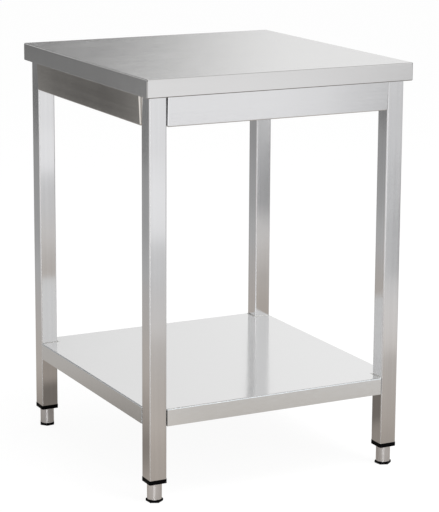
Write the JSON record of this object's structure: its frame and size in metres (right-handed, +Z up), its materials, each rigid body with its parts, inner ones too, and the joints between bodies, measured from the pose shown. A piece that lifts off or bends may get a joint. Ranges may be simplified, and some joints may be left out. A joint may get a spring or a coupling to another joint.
{
  "type": "stainless work table",
  "caption": "Free-standing stainless work table: folded worktop on square tube legs with side aprons, a notched undershelf and screw-adjustable feet",
  "frame": {"origin": "on the floor below the centre of the worktop", "axes": "+Z up, +X to the right and -Y to the front of the table"},
  "size_m": [0.64, 0.674, 0.918],
  "materials": {
    "worktop_steel": "satin brushed",
    "apron_steel": "satin brushed",
    "leg_steel": "bright brushed tube",
    "shelf_steel": "bright rolled sheet",
    "hidden_steel": "mill finish",
    "fastener_steel": "plated",
    "sleeve_steel": "satin turned",
    "black_plastic": "moulded, low gloss",
    "board": "raw chipboard"
  },
  "bodies": {
    "table": {"worktop_skin": "worktop_steel", "worktop_board": "board", "worktop_stiffener": "hidden_steel", "undershelf_pan": "shelf_steel", "undershelf_stiffener": "hidden_steel", "apron_front": "apron_steel", "apron_right": "apron_steel", "apron_back": "apron_steel", "apron_left": "apron_steel", "apron_rivet_nuts": "fastener_steel", "apron_bolts": "fastener_steel", "shelf_rivet_nuts": "fastener_steel", "shelf_bolts": "fastener_steel", "foot_nuts": "fastener_steel", "leg_front_left": "leg_steel", "leg_insert_front_left": "black_plastic", "leg_front_right": "leg_steel", "leg_insert_front_right": "black_plastic", "leg_back_left": "leg_steel", "leg_insert_back_left": "black_plastic", "leg_back_right": "leg_steel", "leg_insert_back_right": "black_plastic"},
    "stud_front_left": {"foot_stud_front_left": "fastener_steel"},
    "foot_front_left": {"foot_sleeve_front_left": "sleeve_steel", "foot_base_front_left": "black_plastic"},
    "stud_front_right": {"foot_stud_front_right": "fastener_steel"},
    "foot_front_right": {"foot_sleeve_front_right": "sleeve_steel", "foot_base_front_right": "black_plastic"},
    "stud_back_left": {"foot_stud_back_left": "fastener_steel"},
    "foot_back_left": {"foot_sleeve_back_left": "sleeve_steel", "foot_base_back_left": "black_plastic"},
    "stud_back_right": {"foot_stud_back_right": "fastener_steel"},
    "foot_back_right": {"foot_sleeve_back_right": "sleeve_steel", "foot_base_back_right": "black_plastic"}
  },
  "joints": [
    {"name": "foot_height_front_left", "type": "slide", "parent": "table", "child": "stud_front_left", "axis": [0, 0, 1], "range_m": [-0.0245, 0.0245]},
    {"name": "foot_turn_front_left", "type": "hinge", "parent": "stud_front_left", "child": "foot_front_left", "pos_m": [-0.287, -0.301, 0], "axis": [0, 0, 1], "range_deg": [-5040, 5040]},
    {"name": "foot_height_front_right", "type": "slide", "parent": "table", "child": "stud_front_right", "axis": [0, 0, 1], "range_m": [-0.0245, 0.0245]},
    {"name": "foot_turn_front_right", "type": "hinge", "parent": "stud_front_right", "child": "foot_front_right", "pos_m": [0.287, -0.301, 0], "axis": [0, 0, 1], "range_deg": [-5040, 5040]},
    {"name": "foot_height_back_left", "type": "slide", "parent": "table", "child": "stud_back_left", "axis": [0, 0, 1], "range_m": [-0.0245, 0.0245]},
    {"name": "foot_turn_back_left", "type": "hinge", "parent": "stud_back_left", "child": "foot_back_left", "pos_m": [-0.287, 0.301, 0], "axis": [0, 0, 1], "range_deg": [-5040, 5040]},
    {"name": "foot_height_back_right", "type": "slide", "parent": "table", "child": "stud_back_right", "axis": [0, 0, 1], "range_m": [-0.0245, 0.0245]},
    {"name": "foot_turn_back_right", "type": "hinge", "parent": "stud_back_right", "child": "foot_back_right", "pos_m": [0.287, 0.301, 0], "axis": [0, 0, 1], "range_deg": [-5040, 5040]}
  ],
  "couplings": [
    {"joint": "foot_turn_front_left", "follows": "foot_height_front_left", "rad_per_m": 3590.4},
    {"joint": "foot_turn_front_right", "follows": "foot_height_front_right", "rad_per_m": 3590.4},
    {"joint": "foot_turn_back_left", "follows": "foot_height_back_left", "rad_per_m": 3590.4},
    {"joint": "foot_turn_back_right", "follows": "foot_height_back_right", "rad_per_m": 3590.4}
  ]
}
